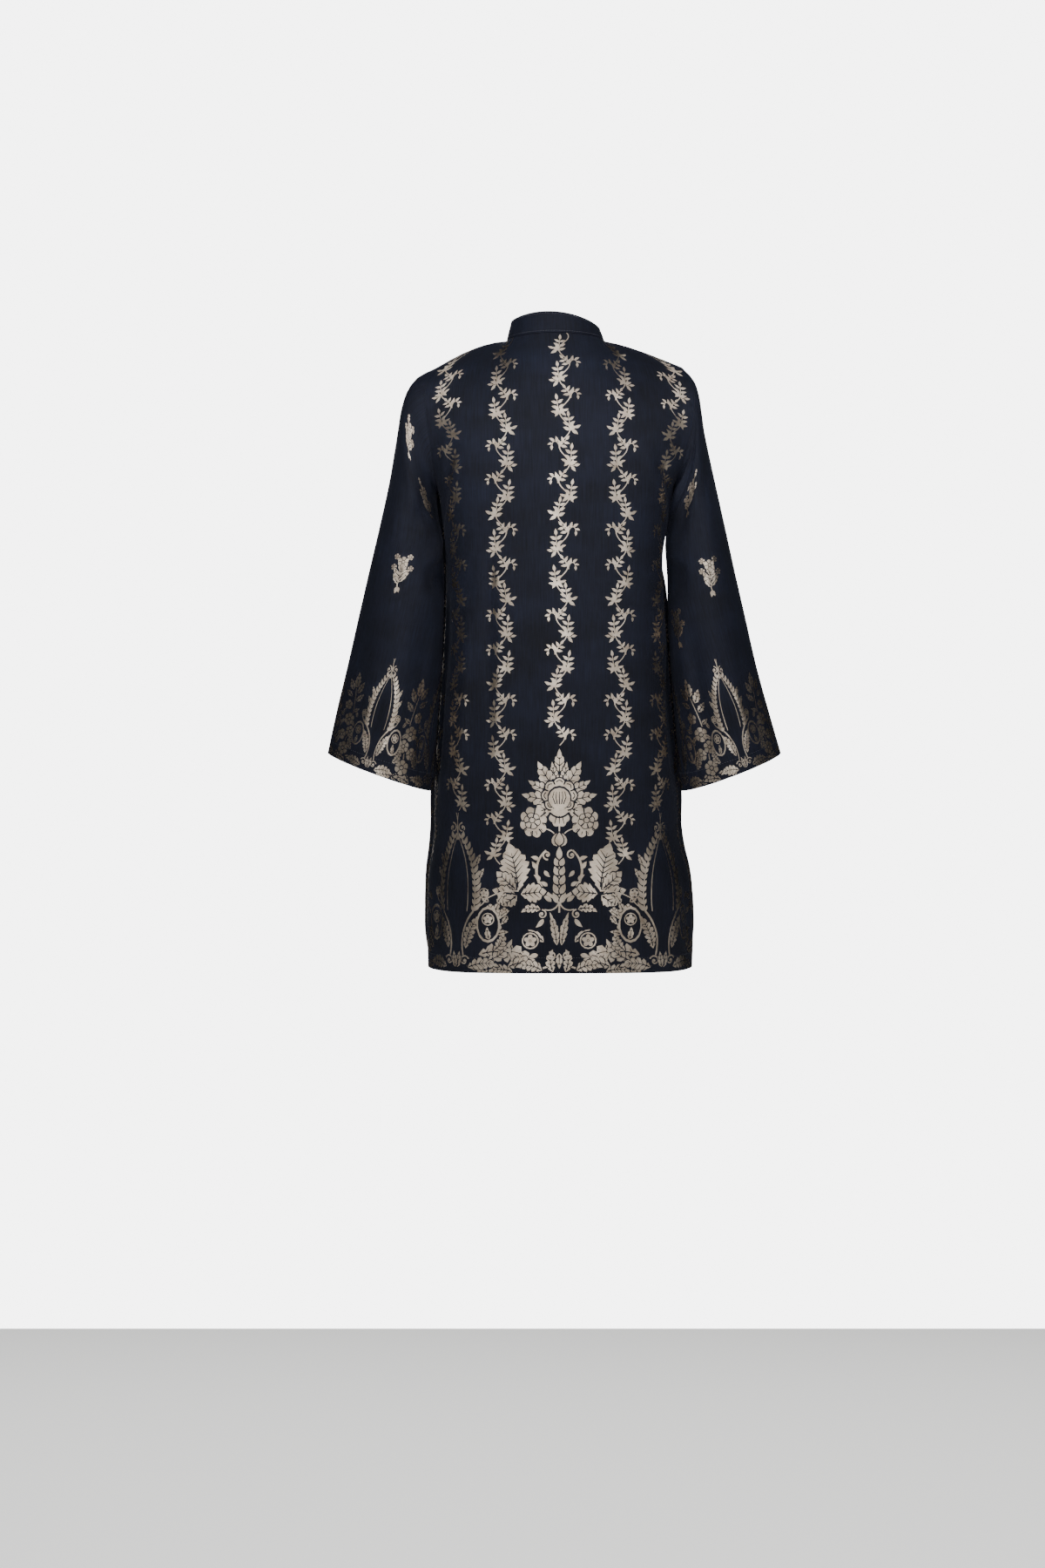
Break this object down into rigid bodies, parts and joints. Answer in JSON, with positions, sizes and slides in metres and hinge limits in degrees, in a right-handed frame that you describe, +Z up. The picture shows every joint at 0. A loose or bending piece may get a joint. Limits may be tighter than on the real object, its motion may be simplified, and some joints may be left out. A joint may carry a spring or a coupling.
{
  "type": "band-collar long shirt",
  "caption": "Hollow worn long shirt in black cloth with a gold woven figure: band collar, bell sleeves, side slits, neck slit with placket.",
  "frame": {"origin": "in the neck opening, midway between the neck ends of the shoulder seams", "axes": "+Z up, -Y towards the wearer's front, +X towards the wearer's left"},
  "size_m": [0.593, 0.2481, 0.8538],
  "materials": {
    "figured_cloth": "soft matt jacquard with a metallic gold weft figure",
    "plain_cloth": "soft matt plain weave"
  },
  "bodies": {
    "root": {"back_panel": "figured_cloth", "front_panel": "figured_cloth", "sleeve_left": "figured_cloth", "sleeve_right": "figured_cloth", "collar_band": "plain_cloth", "front_placket": "plain_cloth"}
  },
  "joints": []
}
